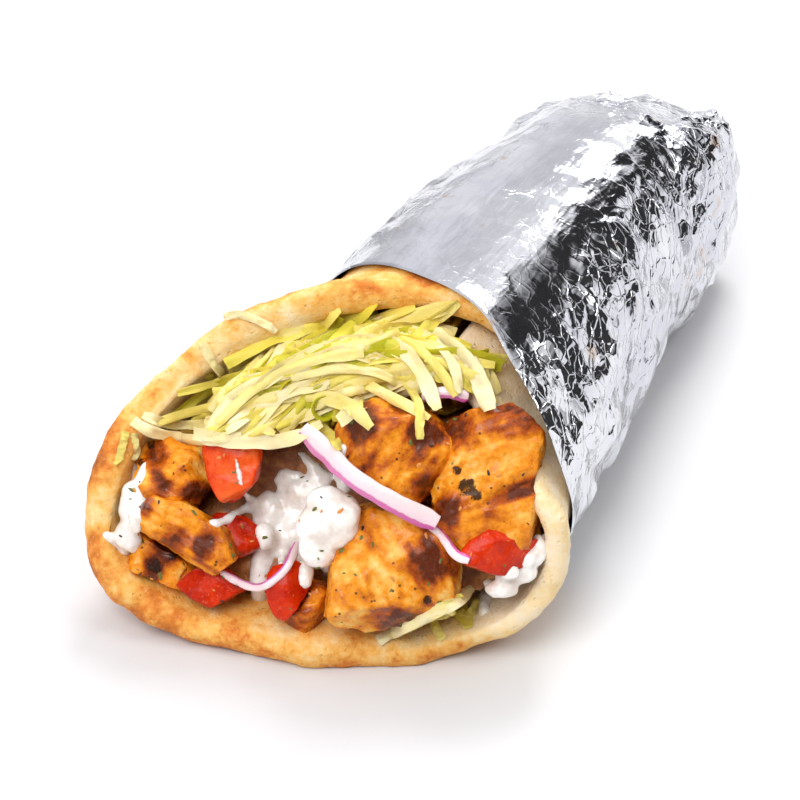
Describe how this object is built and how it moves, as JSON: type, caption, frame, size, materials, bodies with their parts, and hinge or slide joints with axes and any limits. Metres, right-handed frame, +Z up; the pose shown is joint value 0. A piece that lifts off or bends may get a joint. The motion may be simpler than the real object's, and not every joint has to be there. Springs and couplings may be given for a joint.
{
  "type": "gyro wrap",
  "caption": "Pita rolled round chicken, shredded lettuce, tomato, red onion and yoghurt sauce, in a foil sleeve that is closed at the back and open at the slanted mouth.",
  "frame": {"origin": "middle of the whole wrap's box at the surface that it rests on", "axes": "+Y along the roll from its mouth to its closed foil end, +Z up, +X to the right as seen from the mouth"},
  "size_m": [0.101, 0.2012, 0.072],
  "materials": {
    "foil": "bright crumpled kitchen foil",
    "pita": "baked flatbread, matt, with browned patches and pores",
    "chicken": "grilled chicken, moist, charred in spots",
    "tomato": "wet cut tomato",
    "onion": "moist red onion, white with a purple edge",
    "sauce": "thick glossy yoghurt sauce with herb flecks",
    "lettuce": "crisp shredded lettuce, pale and slightly see-through",
    "filling": "packed filling behind the pieces that show"
  },
  "bodies": {
    "root": {"chicken_1": "chicken", "chicken_2": "chicken", "chicken_3": "chicken", "chicken_4": "chicken", "chicken_5": "chicken", "chicken_6": "chicken", "chicken_7": "chicken", "filling_core": "filling", "foil": "foil", "lettuce": "lettuce", "lettuce_on_lip": "lettuce", "onion_1": "onion", "onion_2": "onion", "onion_3": "onion", "onion_4": "onion", "pita": "pita", "sauce_left": "sauce", "sauce_middle": "sauce", "sauce_right": "sauce", "tomato_1": "tomato", "tomato_2": "tomato", "tomato_3": "tomato", "tomato_4": "tomato", "tomato_5": "tomato"}
  },
  "joints": []
}
